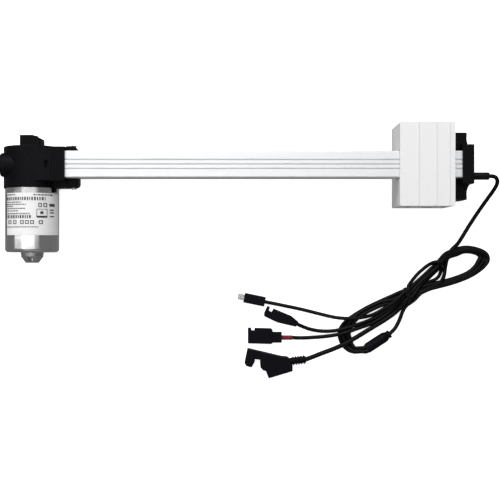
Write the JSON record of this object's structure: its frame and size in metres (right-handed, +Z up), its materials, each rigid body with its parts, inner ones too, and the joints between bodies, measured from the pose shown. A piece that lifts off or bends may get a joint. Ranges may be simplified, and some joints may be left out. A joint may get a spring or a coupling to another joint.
{
  "type": "linear actuator",
  "caption": "Furniture lift actuator: a worm-gear motor turns a lead screw in an aluminium rail, driving a white carriage; pivots at the gearbox and carriage, and a tied cable harness.",
  "frame": {"origin": "below the middle of the actuator's box, at the surface it lies on, measured without the cable harness", "axes": "+X along the rail from the gearbox to the cable end; +Y from the motor's tail to the gearbox's pivot; +Z up from the surface it lies on, towards the rail's grooved face"},
  "size_m": [0.5603, 0.2894, 0.063],
  "materials": {
    "zinc_can": "satin zinc-plated sheet with fine drawing marks",
    "turned_steel": "turned, dull",
    "ferrite": "matt dark grey",
    "label": "matt printed foil, no lettering",
    "housing_black": "fine moulded texture",
    "carbon": "matt",
    "bright_steel": "bright zinc or ground",
    "copper": "enamelled copper",
    "bronze": "machined",
    "rail_aluminium": "clear anodised, fine lines along its length",
    "wire_red": "smooth insulation",
    "carriage_white": "natural white moulding, satin",
    "glide_grey": "waxy",
    "board_green": "solder mask",
    "cable_black": "smooth jacket, slight sheen",
    "plug_black": "moulded, slight sheen",
    "sleeve_red": "heat-shrink"
  },
  "bodies": {
    "frame": {"motor_can": "zinc_can", "motor_tail_mount": "turned_steel", "motor_front_plate": "zinc_can", "motor_magnets": "ferrite", "motor_label": "label", "brush_holder": "housing_black", "carbon_brushes": "carbon", "brush_springs": "bright_steel", "motor_bearing_tail": "bright_steel", "motor_bearing_front": "bright_steel", "screw_bearing_outer": "bright_steel", "screw_bearing_inner": "bright_steel", "gear_housing": "housing_black", "gear_housing_cover": "housing_black", "housing_screws": "bright_steel", "screw_end_cap": "housing_black", "worm_end_bush": "bronze", "pivot_washer": "bright_steel", "rear_pivot_block": "housing_black", "rear_pivot_bush": "turned_steel", "pivot_block_screws": "bright_steel", "rail": "rail_aluminium", "rail_collar": "housing_black", "rail_screws": "bright_steel", "motor_wires": "wire_red", "end_cap": "housing_black", "screw_end_bush": "bronze", "switch_boards": "board_green", "limit_switches": "housing_black", "strain_relief": "cable_black", "main_cable": "cable_black", "splitter_cable": "cable_black", "usb_lead": "cable_black", "latch_lead": "cable_black", "socket_lead": "cable_black", "power_lead": "cable_black", "cable_hank": "cable_black", "cable_tie": "cable_black", "splitter": "plug_black", "usb_plug": "plug_black", "usb_plug_shell": "bright_steel", "latch_connector": "plug_black", "socket_connector": "plug_black", "red_sleeve": "sleeve_red", "power_plug": "plug_black", "power_plug_relief": "plug_black"},
    "rotor": {"motor_shaft": "bright_steel", "rotor_core": "turned_steel", "rotor_windings": "copper", "commutator": "copper", "worm": "bright_steel"},
    "screw": {"lead_screw": "bright_steel", "worm_wheel": "bronze", "wheel_pin": "bright_steel", "screw_circlip": "bright_steel"},
    "carriage": {"carriage_body": "carriage_white", "carriage_glides": "glide_grey", "screw_nut": "glide_grey", "carriage_screws": "bright_steel", "carriage_pivot_bushes": "turned_steel"}
  },
  "joints": [
    {"name": "rotor_spin", "type": "hinge", "parent": "frame", "child": "rotor", "pos_m": [-0.2325, 0, 0.03], "axis": [0, 1, 0], "range_deg": [-455400, 0]},
    {"name": "screw_spin", "type": "hinge", "parent": "frame", "child": "screw", "pos_m": [0, 0.0315, 0.045], "axis": [1, 0, 0], "range_deg": [0, 20700]},
    {"name": "carriage_slide", "type": "slide", "parent": "frame", "child": "carriage", "axis": [1, 0, 0], "range_m": [-0.345, 0]}
  ],
  "couplings": [
    {"joint": "screw_spin", "follows": "rotor_spin", "ratio": -0.045455},
    {"joint": "carriage_slide", "follows": "rotor_spin", "m_per_rad": 0.000043406}
  ]
}
